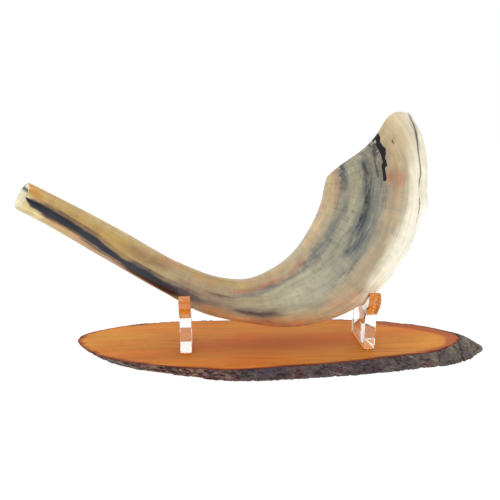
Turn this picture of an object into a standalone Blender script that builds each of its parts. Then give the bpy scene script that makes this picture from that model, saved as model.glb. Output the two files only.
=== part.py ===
"""A ram's horn shofar on its display stand: two clear forks on an oblique slice of a branch.

Metres, +Z up. The origin is on the underside of the slice, midway between the two forks.
+X runs along the horn towards its bell, and the horn curves in the plane y = 0.
"""
import math

import bmesh
import bpy
import numpy as np

GAP = 0.0003                    # clearance between neighbouring pieces

# Horn. A row is one cross-section, from the mouth to the bell: the point on the inner, concave
# edge (x, z), the point on the outer, convex edge (x, z), half the depth across the curve, the
# wall left round the hollow, and how far the section's middle stands behind the plane y = 0.
HORN_SECTIONS = (
    (-0.1676, 0.1289, -0.1790, 0.1122, 0.0102, 0.0058, -0.004),
    (-0.1488, 0.1187, -0.1594, 0.1006, 0.0104, 0.0058, -0.003),
    (-0.1095, 0.0960, -0.1219, 0.0763, 0.0114, 0.0067, -0.001),
    (-0.0690, 0.0716, -0.0804, 0.0503, 0.0124, 0.0068, 0.000),
    (-0.0405, 0.0605, -0.0504, 0.0337, 0.0142, 0.0068, 0.000),
    (-0.0200, 0.0592, -0.0197, 0.0266, 0.0168, 0.0066, 0.000),
    (-0.0016, 0.0672, 0.0120, 0.0234, 0.0198, 0.0062, 0.000),
    (0.0138, 0.0805, 0.0511, 0.0329, 0.0222, 0.0056, 0.000),
    (0.0250, 0.0978, 0.0815, 0.0562, 0.0235, 0.0050, 0.001),
    (0.0316, 0.1136, 0.0997, 0.0860, 0.0238, 0.0045, 0.002),
    (0.0337, 0.1245, 0.1070, 0.1125, 0.0234, 0.0040, 0.003),
    (0.0346, 0.1285, 0.1070, 0.1402, 0.0226, 0.0036, 0.004),
    (0.0350, 0.1298, 0.1019, 0.1590, 0.0218, 0.0034, 0.004),
    (0.0353, 0.1308, 0.0936, 0.1757, 0.0208, 0.0032, 0.005),
)
HORN_POINTS_ROUND = 32          # points round each cross-section
HORN_STEP = 0.0085              # spacing of the cross-sections
HORN_SQUARENESS = 2.15          # 2 is an ellipse, more has flatter sides
KEEL_HEIGHT = 0.0032            # ridge left on the outer edge, tallest at the bell
KEEL_START = 0.190              # distance from the mouth where the ridge begins
KEEL_WIDTH = 0.34               # its angular half-width, in radians
BELL_TILT = math.radians(15)    # the far side of the bell is cut lower than the near side
BELL_TILT_START = 0.220         # distance from the mouth where sections begin to lean
RIM_DIP = 0.0015                # how far the bell's cut dips below a straight line near its middle
RIM_DIP_PLACE = -0.20           # places across the bell run from -1, the inner edge, to 1, the outer
RIM_DIP_WIDTH = 0.40
RIM_TIP = 0.0060                # how far the cut swells beside the outer edge
RIM_TIP_PLACE = 0.7
RIM_TIP_WIDTH = 0.40
RIM_END_POWER = 16              # brings the cut back to the straight line right at both edges
RIM_WAVE_LENGTH = 0.030         # the dip and the swell fade out over this distance from the rim
BELL_RIM_EDGE = 0.0008          # rounding of the bell's rim
MOUTH_TILT = math.radians(28)   # the far side of the mouth stands further out than the near side
MOUTH_TILT_LENGTH = 0.040       # distance over which the sections straighten up
MOUTH_CHAMFER_LENGTH = 0.0008
MOUTH_CHAMFER_DEPTH = 0.0006
CUP_PROFILE = (                 # distance from the mouth, radius of the cup there
    (0.0000, 0.0078), (0.0006, 0.0072), (0.0030, 0.0063), (0.0060, 0.0052), (0.0095, 0.0046),
)
BORE_START = 0.0130             # distance from the mouth where the plain bore begins
HORN_SMOOTH_ANGLE = math.radians(40)

# Forks, cut from clear sheet
SHEET = 0.008
FORK_SPACING = 0.130            # between the middles of the two sheets
STEM_HALF_WIDTH = 0.01865
FORK_FOOT_Z = 0.0112
NOTCH_BOTTOM_Z = 0.0380
NOTCH_ROUNDNESS = 0.0112        # the notch is a hyperbola; a larger value gives a wider bottom
NOTCH_HALF_WIDTH = 0.0236
FORK_SHOULDER = (               # outer side of a prong, from the stem to the tip (y, z)
    (0.01865, 0.0300), (0.0204, 0.0365), (0.0256, 0.0422), (0.0292, 0.0470),
    (0.0293, 0.0510), (0.0276, 0.0540), (0.0254, 0.0543),
)
SHOULDER_POINTS = 22
NOTCH_POINTS = 29
FORK_EDGE = 0.0004              # polished edge
FORK_EDGE_ANGLE = math.radians(50)
GLUE_THICKNESS = 0.0006
GLUE_MARGIN = 0.0012            # the cured adhesive stops this far inside the foot
GLUE_CORNER = 0.6               # corner radius as a share of the film's half-width

# Branch slice. The outlines run counter-clockwise from the left tip, point for point.
SLICE_THICKNESS = 0.010
SLICE_OUTLINES = (              # upper face (x, y), lower face (x, y)
    (-0.1460, 0.0220, -0.1240, 0.0200), (-0.1370, -0.0020, -0.1190, -0.0045),
    (-0.1180, -0.0220, -0.0990, -0.0185), (-0.0880, -0.0345, -0.0700, -0.0300),
    (-0.0400, -0.0458, -0.0300, -0.0425), (0.0050, -0.0430, 0.0200, -0.0405),
    (0.0750, -0.0315, 0.0880, -0.0310), (0.1210, -0.0170, 0.1360, -0.0170),
    (0.1400, 0.0070, 0.1570, 0.0080), (0.1230, 0.0290, 0.1430, 0.0270),
    (0.0880, 0.0450, 0.1070, 0.0440), (0.0350, 0.0545, 0.0520, 0.0550),
    (-0.0300, 0.0556, -0.0120, 0.0560), (-0.0880, 0.0537, -0.0700, 0.0545),
    (-0.1260, 0.0425, -0.1060, 0.0430),
)
SLICE_POINTS = 120
BARK_THICKNESS = 0.0016
BARK_SLANT = 0.0009             # added where the bark faces +X, taken off where it faces -X
BARK_GAP = 0.0007               # clearance from the wood, measured level; the edge itself slants


def clear_scene():
    for thing in list(bpy.data.objects):
        bpy.data.objects.remove(thing, do_unlink=True)


def material(name, colour, roughness, metallic=0.0, transmission=0.0):
    made = bpy.data.materials.new(name)
    made.use_nodes = True
    shader = made.node_tree.nodes["Principled BSDF"]
    shader.inputs["Base Color"].default_value = (*colour, 1.0)
    shader.inputs["Roughness"].default_value = roughness
    shader.inputs["Metallic"].default_value = metallic
    shader.inputs["Transmission Weight"].default_value = transmission
    made.diffuse_color = (*colour, 1.0)
    return made


def add_object(name, bm, look, smooth_angle=None, parent=None):
    mesh = bpy.data.meshes.new(name)
    bm.to_mesh(mesh)
    bm.free()
    if smooth_angle is not None:
        mesh.shade_smooth()
        mesh.set_sharp_from_angle(angle=smooth_angle)
    made = bpy.data.objects.new(name, mesh)
    made.data.materials.append(look)
    bpy.context.scene.collection.objects.link(made)
    made.parent = parent
    return made


def spline(knots, values, at):
    """Smooth curve through values given at rising knots, each slope taken from its neighbours."""
    knots = np.asarray(knots, float)
    values = np.asarray(values, float)
    slopes = np.gradient(values, knots, axis=0)
    index = np.clip(np.searchsorted(knots, at) - 1, 0, len(knots) - 2)
    span = knots[index + 1] - knots[index]
    t = (at - knots[index]) / span
    start, end = values[index], values[index + 1]
    return (start * (1 + 2 * t) * (1 - t) ** 2 + end * t * t * (3 - 2 * t)
            + span * (slopes[index] * t * (1 - t) ** 2 - slopes[index + 1] * t * t * (1 - t)))


def slice_outlines():
    """Upper and lower face outlines, smooth and closed, with matching points."""
    rows = np.array(SLICE_OUTLINES)
    looped = np.vstack((rows[-3:], rows, rows[:4]))
    knots = np.concatenate(([0.0], np.cumsum(np.linalg.norm(np.diff(looped[:, :2], axis=0), axis=1))))
    places = np.linspace(knots[3], knots[3 + len(rows)], SLICE_POINTS, endpoint=False)
    curve = np.array([spline(knots, looped, place) for place in places])
    return curve[:, :2], curve[:, 2:]


def blend(start, end, value):
    """0 before start, 1 after end, and a smooth rise between them."""
    t = min(max((value - start) / (end - start), 0.0), 1.0)
    return t * t * (3 - 2 * t)


def loft_loop(rings):
    """A closed body through rings of equal point counts, the last joined back to the first.

    Seen from the way the rings go on the body's outside, each ring turns counter-clockwise.
    """
    bm = bmesh.new()
    loops = [[bm.verts.new(point) for point in ring] for ring in rings]
    count = len(loops[0])
    for a, b in zip(loops, loops[1:] + loops[:1]):
        for i in range(count):
            j = (i + 1) % count
            bm.faces.new((a[i], a[j], b[j], b[i]))
    return bm


def loft_capped(rings):
    """A closed body through rings of equal point counts, turning as in loft_loop, with flat ends."""
    bm = bmesh.new()
    loops = [[bm.verts.new(point) for point in ring] for ring in rings]
    count = len(loops[0])
    for a, b in zip(loops, loops[1:]):
        for i in range(count):
            j = (i + 1) % count
            bm.faces.new((a[i], a[j], b[j], b[i]))
    bm.faces.new(reversed(loops[0]))
    bm.faces.new(loops[-1])
    return bm


def rim_rise(u):
    """Height of the bell's cut over a straight line, at one place across the bell."""
    dip = RIM_DIP * math.exp(-((u - RIM_DIP_PLACE) / RIM_DIP_WIDTH) ** 2)
    swell = RIM_TIP * math.exp(-((u - RIM_TIP_PLACE) / RIM_TIP_WIDTH) ** 2)
    return (swell - dip) * (1 - u ** RIM_END_POWER)


class HornShape:
    """Cross-sections of the horn, by distance along its middle line from the mouth."""

    def __init__(self):
        self.rows = np.array(HORN_SECTIONS)
        middles = (self.rows[:, 0:2] + self.rows[:, 2:4]) / 2
        steps = np.linalg.norm(np.diff(middles, axis=0), axis=1)
        self.knots = np.concatenate(([0.0], np.cumsum(steps)))
        self.length = self.knots[-1]

    def ring(self, distance, inset=0.0, radius=None, keel=True):
        """Points round the section there, drawn in by an inset or set to a plain radius."""
        row = spline(self.knots, self.rows, distance)
        inner = np.array((row[0], row[6], row[1]))
        outer = np.array((row[2], row[6], row[3]))
        across = (outer - inner) / np.linalg.norm(outer - inner)
        forward = np.array((-across[2], 0.0, across[0]))
        lean = BELL_TILT * blend(BELL_TILT_START, self.length, distance)
        lean += MOUTH_TILT * (1 - blend(0, MOUTH_TILT_LENGTH, distance))
        depth_axis = np.array((0.0, math.cos(lean), 0.0)) - math.sin(lean) * forward
        ridge = KEEL_HEIGHT * blend(KEEL_START, self.length, distance)
        half_width = (np.linalg.norm(outer - inner) - ridge) / 2
        middle = inner + across * half_width
        wave = blend(self.length - RIM_WAVE_LENGTH, self.length, distance)
        a = radius if radius else half_width - inset
        b = radius if radius else row[4] - inset
        points = []
        for i in range(HORN_POINTS_ROUND):
            angle = 2 * math.pi * i / HORN_POINTS_ROUND
            cos, sin = math.cos(angle), math.sin(angle)
            u = math.copysign(abs(cos) ** (2 / HORN_SQUARENESS), cos)
            v = math.copysign(abs(sin) ** (2 / HORN_SQUARENESS), sin)
            off_edge = min(angle, 2 * math.pi - angle)
            crest = ridge * math.exp(-(off_edge / KEEL_WIDTH) ** 2) if keel else 0.0
            rise = wave * rim_rise(u)
            points.append(middle + across * (a * u + crest) + depth_axis * b * v + forward * rise)
        return points

    def wall(self, distance):
        return spline(self.knots, self.rows, distance)[5]


def horn_rings(shape):
    """Rings over the outside from the mouth to the bell, then back through the hollow."""
    edge = BELL_RIM_EDGE
    outside = np.linspace(MOUTH_CHAMFER_LENGTH, shape.length - edge,
                          round(shape.length / HORN_STEP))
    rings = [shape.ring(0.0, inset=MOUTH_CHAMFER_DEPTH)]
    rings += [shape.ring(s) for s in outside]
    rings.append(shape.ring(shape.length, inset=edge))
    rings.append(shape.ring(shape.length, inset=shape.wall(shape.length) - edge, keel=False))
    inside = np.linspace(shape.length - edge, BORE_START, round(shape.length / HORN_STEP))
    rings += [shape.ring(s, inset=shape.wall(s), keel=False) for s in inside]
    rings += [shape.ring(s, radius=r, keel=False) for s, r in reversed(CUP_PROFILE)]
    return rings


def make_horn(joint):
    look = material("polished_horn", (0.60, 0.50, 0.34), 0.22)
    body = loft_loop(horn_rings(HornShape()))
    return add_object("horn", body, look, smooth_angle=HORN_SMOOTH_ANGLE, parent=joint)


def fork_outline():
    """One fork seen along X, counter-clockwise from the foot: (y, z)."""
    shoulder = np.array(FORK_SHOULDER)
    knots = np.arange(len(shoulder))
    side = [spline(knots, shoulder, t) for t in np.linspace(0, len(shoulder) - 1, SHOULDER_POINTS)]
    notch = []
    for y in np.linspace(NOTCH_HALF_WIDTH, -NOTCH_HALF_WIDTH, NOTCH_POINTS):
        rise = math.hypot(NOTCH_ROUNDNESS, y) - NOTCH_ROUNDNESS
        notch.append((y, NOTCH_BOTTOM_Z + rise))
    right = [(STEM_HALF_WIDTH, FORK_FOOT_Z)] + [tuple(point) for point in side]
    left = [(-y, z) for y, z in reversed(right)]
    return right + notch + left


def make_fork(name, x, look):
    outline = fork_outline()
    sides = [[(x + offset, y, z) for y, z in outline] for offset in (-SHEET / 2, SHEET / 2)]
    made = add_object(name, loft_capped(sides), look)
    bevel = made.modifiers.new("polished_edges", "BEVEL")
    bevel.width = FORK_EDGE
    bevel.segments = 1
    bevel.limit_method = "ANGLE"
    bevel.angle_limit = FORK_EDGE_ANGLE
    return made


def make_glue_bed(name, x, look):
    half_x = SHEET / 2 - GLUE_MARGIN / 2
    half_y = STEM_HALF_WIDTH - GLUE_MARGIN
    corner = half_x * GLUE_CORNER
    outline = []
    for centre_x, centre_y, turn in ((half_x, half_y, 0), (-half_x, half_y, 1),
                                     (-half_x, -half_y, 2), (half_x, -half_y, 3)):
        for step in range(4):
            angle = math.pi / 2 * (turn + step / 3)
            outline.append((x + centre_x - math.copysign(corner, centre_x) + corner * math.cos(angle),
                            centre_y - math.copysign(corner, centre_y) + corner * math.sin(angle)))
    low = SLICE_THICKNESS + GAP
    rings = [[(px, py, z) for px, py in outline] for z in (low, low + GLUE_THICKNESS)]
    return add_object(name, loft_capped(rings), look)


def offset_outline(points, distance, slant=0.0):
    """The closed outline moved outwards, by the slant more where it faces along +X."""
    tangent = np.roll(points, -1, axis=0) - np.roll(points, 1, axis=0)
    normal = np.column_stack((tangent[:, 1], -tangent[:, 0]))
    normal /= np.linalg.norm(normal, axis=1)[:, None]
    return points + normal * (distance + slant * normal[:, 0:1])


def at_height(outline, z):
    return [(x, y, z) for x, y in outline]


def make_slice_wood():
    look = material("branch_wood", (0.62, 0.25, 0.06), 0.45)
    upper, lower = slice_outlines()
    body = loft_capped([at_height(lower, 0), at_height(upper, SLICE_THICKNESS)])
    return add_object("slab_wood", body, look)


def make_slice_bark():
    look = material("bark", (0.09, 0.06, 0.05), 0.85)
    upper, lower = slice_outlines()
    outer = BARK_GAP + BARK_THICKNESS
    rings = [
        at_height(offset_outline(lower, BARK_GAP), 0),
        at_height(offset_outline(lower, outer, BARK_SLANT), 0),
        at_height(offset_outline(upper, outer, BARK_SLANT), SLICE_THICKNESS),
        at_height(offset_outline(upper, BARK_GAP), SLICE_THICKNESS),
    ]
    return add_object("slab_bark", loft_loop(rings), look)


def main():
    clear_scene()
    lift = bpy.data.objects.new("horn_lift", None)
    bpy.context.scene.collection.objects.link(lift)
    make_horn(lift)
    make_slice_wood()
    make_slice_bark()
    clear = material("clear_acrylic", (0.95, 0.96, 0.97), 0.03, transmission=0.9)
    glue = material("cured_adhesive", (0.85, 0.85, 0.82), 0.35)
    for side, x in (("left", -FORK_SPACING / 2), ("right", FORK_SPACING / 2)):
        make_fork(side + "_cradle", x, clear)
        make_glue_bed(side + "_glue_bed", x, glue)


main()
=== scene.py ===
"""Looks of the shofar and its stand: polished horn, clear forks, varnished branch slice with its bark."""
import math

import bmesh
import bpy
import numpy as np
from mathutils import Matrix, Vector, noise


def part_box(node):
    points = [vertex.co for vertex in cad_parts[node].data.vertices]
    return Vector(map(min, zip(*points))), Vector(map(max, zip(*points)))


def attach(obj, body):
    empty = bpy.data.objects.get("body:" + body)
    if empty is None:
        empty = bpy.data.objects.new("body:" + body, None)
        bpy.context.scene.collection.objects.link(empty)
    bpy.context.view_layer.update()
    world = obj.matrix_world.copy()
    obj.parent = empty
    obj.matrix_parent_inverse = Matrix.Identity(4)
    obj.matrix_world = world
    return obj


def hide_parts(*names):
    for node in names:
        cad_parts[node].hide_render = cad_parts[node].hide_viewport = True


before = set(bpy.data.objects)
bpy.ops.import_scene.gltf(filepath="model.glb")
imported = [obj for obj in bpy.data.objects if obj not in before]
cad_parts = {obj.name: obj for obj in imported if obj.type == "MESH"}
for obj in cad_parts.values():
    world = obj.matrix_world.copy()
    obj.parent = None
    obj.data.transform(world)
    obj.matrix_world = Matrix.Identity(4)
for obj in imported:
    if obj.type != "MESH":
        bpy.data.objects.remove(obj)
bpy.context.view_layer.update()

MM = 0.001

# ---------------- shapes shared with the CAD part

# Horn: inner edge (x, z), outer edge (x, z), half depth, wall, middle behind y = 0; mouth to bell.
HORN_SECTIONS = np.array((
    (-0.1676, 0.1289, -0.1790, 0.1122, 0.0102, 0.0058, -0.004),
    (-0.1488, 0.1187, -0.1594, 0.1006, 0.0104, 0.0058, -0.003),
    (-0.1095, 0.0960, -0.1219, 0.0763, 0.0114, 0.0067, -0.001),
    (-0.0690, 0.0716, -0.0804, 0.0503, 0.0124, 0.0068, 0.000),
    (-0.0405, 0.0605, -0.0504, 0.0337, 0.0142, 0.0068, 0.000),
    (-0.0200, 0.0592, -0.0197, 0.0266, 0.0168, 0.0066, 0.000),
    (-0.0016, 0.0672, 0.0120, 0.0234, 0.0198, 0.0062, 0.000),
    (0.0138, 0.0805, 0.0511, 0.0329, 0.0222, 0.0056, 0.000),
    (0.0250, 0.0978, 0.0815, 0.0562, 0.0235, 0.0050, 0.001),
    (0.0316, 0.1136, 0.0997, 0.0860, 0.0238, 0.0045, 0.002),
    (0.0337, 0.1245, 0.1070, 0.1125, 0.0234, 0.0040, 0.003),
    (0.0346, 0.1285, 0.1070, 0.1402, 0.0226, 0.0036, 0.004),
    (0.0350, 0.1298, 0.1019, 0.1590, 0.0218, 0.0034, 0.004),
    (0.0353, 0.1308, 0.0936, 0.1757, 0.0208, 0.0032, 0.005),
))
HORN_SQUARENESS = 2.15
KEEL_HEIGHT = 0.0032
KEEL_START = 0.190
KEEL_WIDTH = 0.34
BELL_TILT = math.radians(15)
BELL_TILT_START = 0.220
RIM_DIP = 0.0015
RIM_DIP_PLACE = -0.20
RIM_DIP_WIDTH = 0.40
RIM_TIP = 0.0060
RIM_TIP_PLACE = 0.7
RIM_TIP_WIDTH = 0.40
RIM_END_POWER = 16
RIM_WAVE_LENGTH = 0.030
MOUTH_TILT = math.radians(28)
MOUTH_TILT_LENGTH = 0.040
MOUTH_CHAMFER_LENGTH = 0.0008
MOUTH_CHAMFER_DEPTH = 0.0006
CUP_PROFILE = (
    (0.0000, 0.0078), (0.0006, 0.0072), (0.0030, 0.0063), (0.0060, 0.0052), (0.0095, 0.0046),
)
BORE_START = 0.0130

SHEET = 0.008
FORK_SPACING = 0.130
STEM_HALF_WIDTH = 0.01865
NOTCH_BOTTOM_Z = 0.0380
NOTCH_ROUNDNESS = 0.0112
NOTCH_HALF_WIDTH = 0.0236
FORK_SHOULDER = (
    (0.01865, 0.0300), (0.0204, 0.0365), (0.0256, 0.0422), (0.0292, 0.0470),
    (0.0293, 0.0510), (0.0276, 0.0540), (0.0254, 0.0543),
)

SLICE_THICKNESS = 0.010
SLICE_OUTLINES = np.array((      # upper face (x, y), lower face (x, y)
    (-0.1460, 0.0220, -0.1240, 0.0200), (-0.1370, -0.0020, -0.1190, -0.0045),
    (-0.1180, -0.0220, -0.0990, -0.0185), (-0.0880, -0.0345, -0.0700, -0.0300),
    (-0.0400, -0.0458, -0.0300, -0.0425), (0.0050, -0.0430, 0.0200, -0.0405),
    (0.0750, -0.0315, 0.0880, -0.0310), (0.1210, -0.0170, 0.1360, -0.0170),
    (0.1400, 0.0070, 0.1570, 0.0080), (0.1230, 0.0290, 0.1430, 0.0270),
    (0.0880, 0.0450, 0.1070, 0.0440), (0.0350, 0.0545, 0.0520, 0.0550),
    (-0.0300, 0.0556, -0.0120, 0.0560), (-0.0880, 0.0537, -0.0700, 0.0545),
    (-0.1260, 0.0425, -0.1060, 0.0430),
))
BARK_SLANT = 0.0009


def spline(knots, values, at):
    """Smooth curve through values given at rising knots, at one place or many."""
    knots = np.asarray(knots, float)
    values = np.asarray(values, float)
    slopes = np.gradient(values, knots, axis=0)
    at = np.atleast_1d(np.asarray(at, float))
    index = np.clip(np.searchsorted(knots, at) - 1, 0, len(knots) - 2)
    span = (knots[index + 1] - knots[index])[:, None]
    t = (at - knots[index])[:, None] / span
    if values.ndim == 1:
        values, slopes = values[:, None], slopes[:, None]
    start, end = values[index], values[index + 1]
    return (start * (1 + 2 * t) * (1 - t) ** 2 + end * t * t * (3 - 2 * t)
            + span * (slopes[index] * t * (1 - t) ** 2 - slopes[index + 1] * t * t * (1 - t)))


def blend(start, end, value):
    """0 before start, 1 after end, and a smooth rise between them."""
    t = np.clip((np.asarray(value, float) - start) / (end - start), 0, 1)
    return t * t * (3 - 2 * t)


def bump(value, centre, width):
    return np.exp(-((np.asarray(value, float) - centre) / width) ** 2)


def path_lengths(points):
    """Distance from the first point to each one, along the points."""
    return np.concatenate(([0.0], np.cumsum(np.linalg.norm(np.diff(points, axis=0), axis=1))))


def fractal(points, octaves=4, fade=1.0):
    """Smooth repeatable noise from about -1 to 1 at each point; a smaller fade makes it rougher."""
    return np.array([noise.fractal(Vector(p), fade, 2.0, octaves) for p in points])


def field(points, scale, octaves=4, seed=0.0):
    """The same, with one frequency or one for each axis."""
    return fractal(np.asarray(points, float) * np.asarray(scale, float) + seed, octaves)


def raised(xy, z):
    """Points (x, y) given a height."""
    return np.column_stack((xy, np.broadcast_to(z, len(xy))))


# ---------------- node materials

class Graph:
    """Short names for making a material's nodes."""

    def __init__(self, name):
        self.material = bpy.data.materials.new(name)
        self.material.use_nodes = True
        self.tree = self.material.node_tree
        self.shader = self.tree.nodes["Principled BSDF"]

    def node(self, kind, **settings):
        made = self.tree.nodes.new(kind)
        for key, value in settings.items():
            setattr(made, key, value)
        return made

    def feed(self, socket, value):
        if isinstance(value, bpy.types.NodeSocket):
            self.tree.links.new(value, socket)
        elif isinstance(value, (tuple, np.ndarray)) and len(value) == 3 and len(socket.default_value) == 4:
            socket.default_value = (*value, 1.0)
        else:
            socket.default_value = value

    def attribute(self, name, output="Fac"):
        return self.node("ShaderNodeAttribute", attribute_name=name).outputs[output]

    def place(self):
        return self.node("ShaderNodeTexCoord").outputs["Object"]

    def scaled(self, vector, scale, turn=(0, 0, 0)):
        made = self.node("ShaderNodeMapping")
        self.feed(made.inputs["Vector"], vector)
        made.inputs["Scale"].default_value = scale
        made.inputs["Rotation"].default_value = turn
        return made.outputs["Vector"]

    def noise(self, vector, scale, detail=4.0, rough=0.55, distortion=0.0, turn=(0, 0, 0)):
        made = self.node("ShaderNodeTexNoise")
        size = (scale,) * 3 if isinstance(scale, (int, float)) else scale
        self.feed(made.inputs["Vector"], self.scaled(vector, size, turn))
        numbers = {"Scale": 1.0, "Detail": detail, "Roughness": rough, "Distortion": distortion}
        for name, number in numbers.items():
            made.inputs[name].default_value = number
        return made.outputs["Fac"]

    def math(self, operation, a, b=0.0):
        made = self.node("ShaderNodeMath", operation=operation)
        self.feed(made.inputs[0], a)
        self.feed(made.inputs[1], b)
        return made.outputs[0]

    def times(self, a, b):
        return self.math("MULTIPLY", a, b)

    def plus(self, a, b):
        return self.math("ADD", a, b)

    def centred(self, value):
        """Noise moved to run from -0.5 to 0.5."""
        return self.math("SUBTRACT", value, 0.5)

    def ramp(self, value, low, high, to_low=0.0, to_high=1.0):
        made = self.node("ShaderNodeMapRange", interpolation_type="SMOOTHSTEP")
        self.feed(made.inputs["Value"], value)
        for name, number in zip(("From Min", "From Max", "To Min", "To Max"), (low, high, to_low, to_high)):
            made.inputs[name].default_value = number
        return made.outputs["Result"]

    def mix(self, factor, a, b, how="MIX"):
        made = self.node("ShaderNodeMix", data_type="RGBA", blend_type=how)
        self.feed(made.inputs["Factor"], factor)
        self.feed(made.inputs[6], a)
        self.feed(made.inputs[7], b)
        return made.outputs[2]

    def node_colour(self, value):
        """The same value as a grey colour."""
        made = self.node("ShaderNodeCombineColor")
        for socket in made.inputs:
            self.feed(socket, value)
        return made.outputs["Color"]

    def colours(self, value, stops):
        made = self.node("ShaderNodeValToRGB")
        self.feed(made.inputs["Fac"], value)
        elements = made.color_ramp.elements
        for _ in range(len(stops) - 2):
            elements.new(0.5)
        for element, (place, colour) in zip(elements, stops):
            element.position = place
            element.color = (*colour, 1.0)
        return made.outputs["Color"]

    def relief(self, height, distance, strength=1.0, under=None):
        made = self.node("ShaderNodeBump")
        made.inputs["Distance"].default_value = distance
        made.inputs["Strength"].default_value = strength
        self.feed(made.inputs["Height"], height)
        if under is not None:
            self.feed(made.inputs["Normal"], under)
        return made.outputs["Normal"]

    def set(self, **inputs):
        for name, value in inputs.items():
            self.feed(self.shader.inputs[name.replace("_", " ")], value)
        return self.material


# ---------------- building meshes

def make_piece(name, vertices, faces, look, body, node, sharp):
    """A piece that is smooth except where it turns by more than that many degrees."""
    mesh = bpy.data.meshes.new(name)
    mesh.from_pydata([tuple(v) for v in vertices], [], faces)
    mesh.update()
    mesh.shade_smooth()
    mesh.set_sharp_from_angle(angle=math.radians(sharp))
    mesh.materials.append(look)
    piece = bpy.data.objects.new(name, mesh)
    bpy.context.scene.collection.objects.link(piece)
    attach(piece, body)
    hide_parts(node)
    return piece


def give_attribute(piece, name, values):
    values = np.asarray(values, np.float32)
    kind = "FLOAT" if values.ndim == 1 else "FLOAT_VECTOR"
    key = "value" if values.ndim == 1 else "vector"
    attribute = piece.data.attributes.new(name, kind, "POINT")
    attribute.data.foreach_set(key, values.ravel())


def grid_faces(rows, columns, close_rows=False):
    """Quads between rings of points that close on themselves."""
    faces = []
    for i in range(rows if close_rows else rows - 1):
        low, high = i * columns, ((i + 1) % rows) * columns
        for j in range(columns):
            k = (j + 1) % columns
            faces.append((low + j, low + k, high + k, high + j))
    return faces


def capped(rings, low_point, high_point):
    """Vertices and faces of rings that are closed by a fan at each end."""
    columns = len(rings[0])
    last = (len(rings) - 1) * columns
    vertices = np.vstack((*rings, low_point, high_point))
    faces = grid_faces(len(rings), columns)
    for j in range(columns):
        k = (j + 1) % columns
        faces += [(len(vertices) - 2, k, j), (len(vertices) - 1, last + j, last + k)]
    return vertices, faces


def srgb(red, green, blue):
    """Linear colour from the usual 0 to 255 values."""
    c = np.array((red, green, blue)) / 255
    return np.where(c <= 0.04045, c / 12.92, ((c + 0.055) / 1.055) ** 2.4)


# ---------------- horn

SECTION_MIDDLES = (HORN_SECTIONS[:, 0:2] + HORN_SECTIONS[:, 2:4]) / 2
SECTION_KNOTS = path_lengths(SECTION_MIDDLES)
HORN_LENGTH = SECTION_KNOTS[-1]
OUTER_STATIONS = 330
INNER_STATIONS = 150
ROUND = 144
RIDGE_CROWDING = 0.45           # how much closer together the points stand at the ridge
RIM_ROUNDING = 0.0010
# the chamfer of the mouth: how far along it each ring is, and how much of its depth is left there
MOUTH_RINGS = np.array((0.0, 0.25, 0.5, 0.75, 0.94, 1.1))
MOUTH_DEPTHS = 1 - np.array((0.0, 0.25, 0.5, 0.75, 0.93, 1.0))
SKIN = 0.00012                  # the smooth skin stays this far inside the plain solid's corners


def horn_angles():
    """Angles round a section, closer together at the ridge on the outer edge."""
    even = 2 * np.pi * np.arange(ROUND) / ROUND
    return even - RIDGE_CROWDING * np.sin(even)


def horn_surface(s, inset=0.0, radius=None, keel=1.0, swell=None):
    """Points (station, round, xyz) on the horn, and their u (-1 inner to 1 outer) and v (1 is behind)."""
    s = np.atleast_1d(np.asarray(s, float))
    inset = np.broadcast_to(np.asarray(inset, float), s.shape)
    row = spline(SECTION_KNOTS, HORN_SECTIONS, s)
    inner = np.stack((row[:, 0], row[:, 6], row[:, 1]), 1)
    outer = np.stack((row[:, 2], row[:, 6], row[:, 3]), 1)
    height = np.linalg.norm(outer - inner, axis=1)
    across = (outer - inner) / height[:, None]
    forward = np.stack((-across[:, 2], np.zeros(len(s)), across[:, 0]), 1)
    lean = BELL_TILT * blend(BELL_TILT_START, HORN_LENGTH, s)
    lean = lean + MOUTH_TILT * (1 - blend(0, MOUTH_TILT_LENGTH, s))
    depth = np.cos(lean)[:, None] * np.array((0.0, 1.0, 0.0)) - np.sin(lean)[:, None] * forward
    ridge = KEEL_HEIGHT * blend(KEEL_START, HORN_LENGTH, s)
    half = (height - ridge) / 2
    middle = inner + across * half[:, None]
    a = half - inset if radius is None else np.asarray(radius, float) * np.ones(len(s))
    b = row[:, 4] - inset if radius is None else a
    angles = horn_angles()
    u = np.sign(np.cos(angles)) * np.abs(np.cos(angles)) ** (2 / HORN_SQUARENESS)
    v = np.sign(np.sin(angles)) * np.abs(np.sin(angles)) ** (2 / HORN_SQUARENESS)
    off_edge = np.minimum(angles, 2 * np.pi - angles)
    crest = ridge[:, None] * np.exp(-(off_edge / KEEL_WIDTH) ** 2) * keel
    rise = (RIM_TIP * bump(u, RIM_TIP_PLACE, RIM_TIP_WIDTH)
            - RIM_DIP * bump(u, RIM_DIP_PLACE, RIM_DIP_WIDTH))
    rise = rise * (1 - u ** RIM_END_POWER)
    wave = blend(HORN_LENGTH - RIM_WAVE_LENGTH, HORN_LENGTH, s)
    grow = np.zeros((len(s), ROUND)) if swell is None else swell
    points = (middle[:, None, :]
              + across[:, None, :] * (a[:, None] * u + crest + grow * u)[:, :, None]
              + depth[:, None, :] * ((b[:, None] + grow) * v)[:, :, None]
              + forward[:, None, :] * (wave[:, None] * rise)[:, :, None])
    shape = (len(s), ROUND)
    return points, np.broadcast_to(u, shape), np.broadcast_to(v, shape), a, b


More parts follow.
